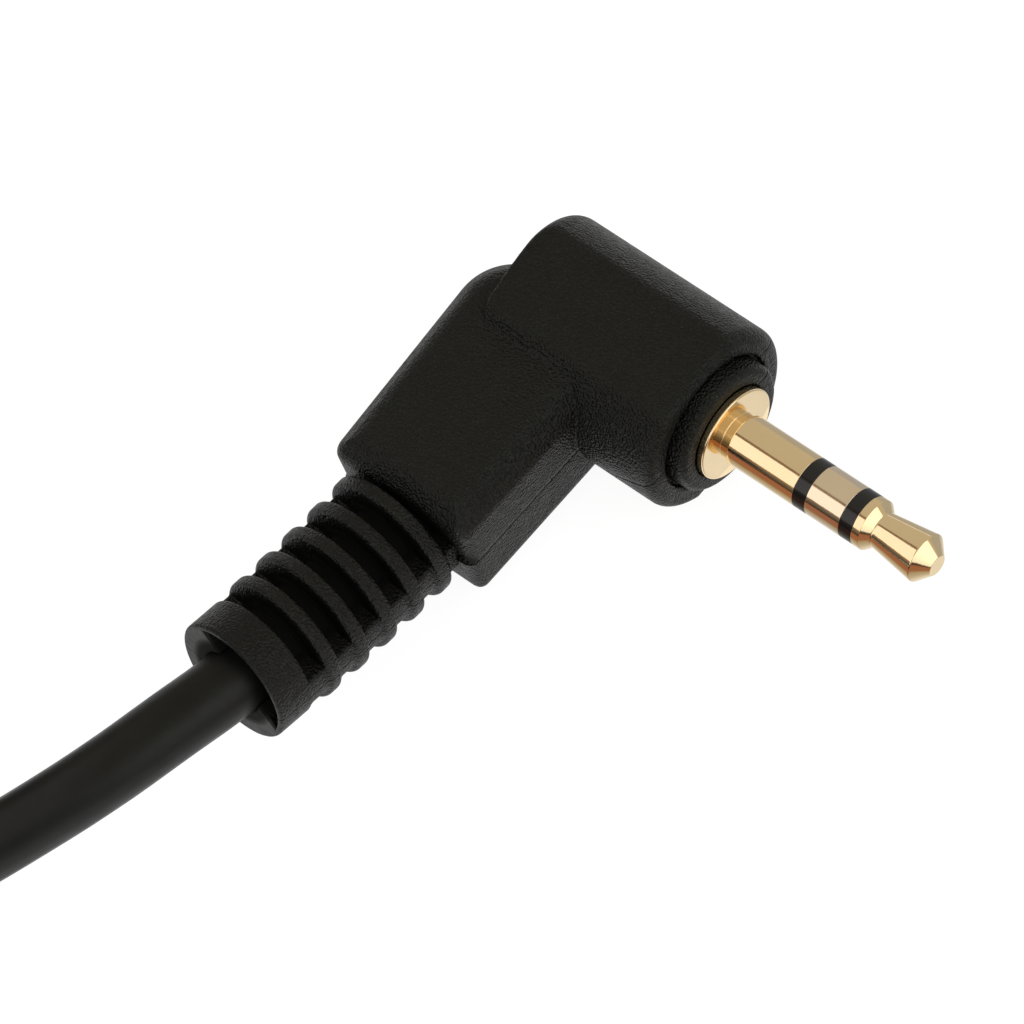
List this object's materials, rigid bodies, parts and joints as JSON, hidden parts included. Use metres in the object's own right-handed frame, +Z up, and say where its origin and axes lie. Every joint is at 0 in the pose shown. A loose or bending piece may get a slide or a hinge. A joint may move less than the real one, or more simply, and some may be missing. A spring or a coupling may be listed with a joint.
{
  "type": "cable shutter release",
  "caption": "Wired camera shutter release: handset with a two-stage button and lock slider, slim black cord, and a right-angle 2.5 mm gold jack plug.",
  "frame": {"origin": "centre of the handset's underside, on the surface that everything lies on", "axes": "+Z up; +Y along the handset towards its cord exit; +X towards the plug, along the jack pin"},
  "size_m": [0.1217, 0.0997, 0.019],
  "materials": {
    "case_plastic": "fine grained black ABS",
    "button_plastic": "satin grey",
    "slider_plastic": "matt dark grey",
    "base_plastic": "natural moulding",
    "contact_metal": "phosphor bronze strip",
    "spacer_laminate": "phenolic laminate",
    "plated_steel": "nickel plated",
    "screw_steel": "black zinc",
    "soft_pvc": "satin black PVC",
    "cord_pvc": "satin black PVC",
    "plug_pvc": "grained black PVC",
    "gold_plating": "polished gold plating",
    "black_insulator": "gloss black",
    "wire_insulation": "coloured PVC insulation",
    "solder": "bright solder"
  },
  "bodies": {
    "root": {"case_bottom": "case_plastic", "case_top": "case_plastic", "case_screws": "screw_steel", "contact_base": "base_plastic", "shutter_leaf": "contact_metal", "focus_leaf": "contact_metal", "common_leaf": "contact_metal", "leaf_spacers": "spacer_laminate", "leaf_clamp_plate": "plated_steel", "leaf_screws": "plated_steel", "cord_clamp": "plated_steel", "cord_clamp_screws": "plated_steel", "handset_strain_relief": "soft_pvc", "cord_end_handset": "cord_pvc", "handset_wires": "wire_insulation", "handset_solder": "solder", "cord_handset_side": "cord_pvc", "cord_coil": "cord_pvc", "cord_plug_side": "cord_pvc", "plug_body": "plug_pvc", "plug_strain_relief": "plug_pvc", "cord_end_plug": "cord_pvc", "inner_mould": "base_plastic", "jack_sleeve": "gold_plating", "ring_insulator": "black_insulator", "jack_ring": "gold_plating", "tip_insulator": "black_insulator", "jack_tip": "gold_plating", "ring_terminal": "plated_steel", "sleeve_terminal": "plated_steel", "plug_wires": "wire_insulation", "plug_solder": "solder"},
    "button": {"release_button": "button_plastic"},
    "slider": {"lock_slider": "slider_plastic"}
  },
  "joints": [
    {"name": "button_press", "type": "slide", "parent": "root", "child": "button", "axis": [0, 0, -1], "range_m": [0, 0.0018], "stiffness_N_per_m": 700, "springref_m": -0.0006, "deforming": ["common_leaf", "focus_leaf", "shutter_leaf"]},
    {"name": "lock_slide", "type": "slide", "parent": "root", "child": "slider", "axis": [0, -1, 0], "range_m": [0, 0.0022]}
  ]
}
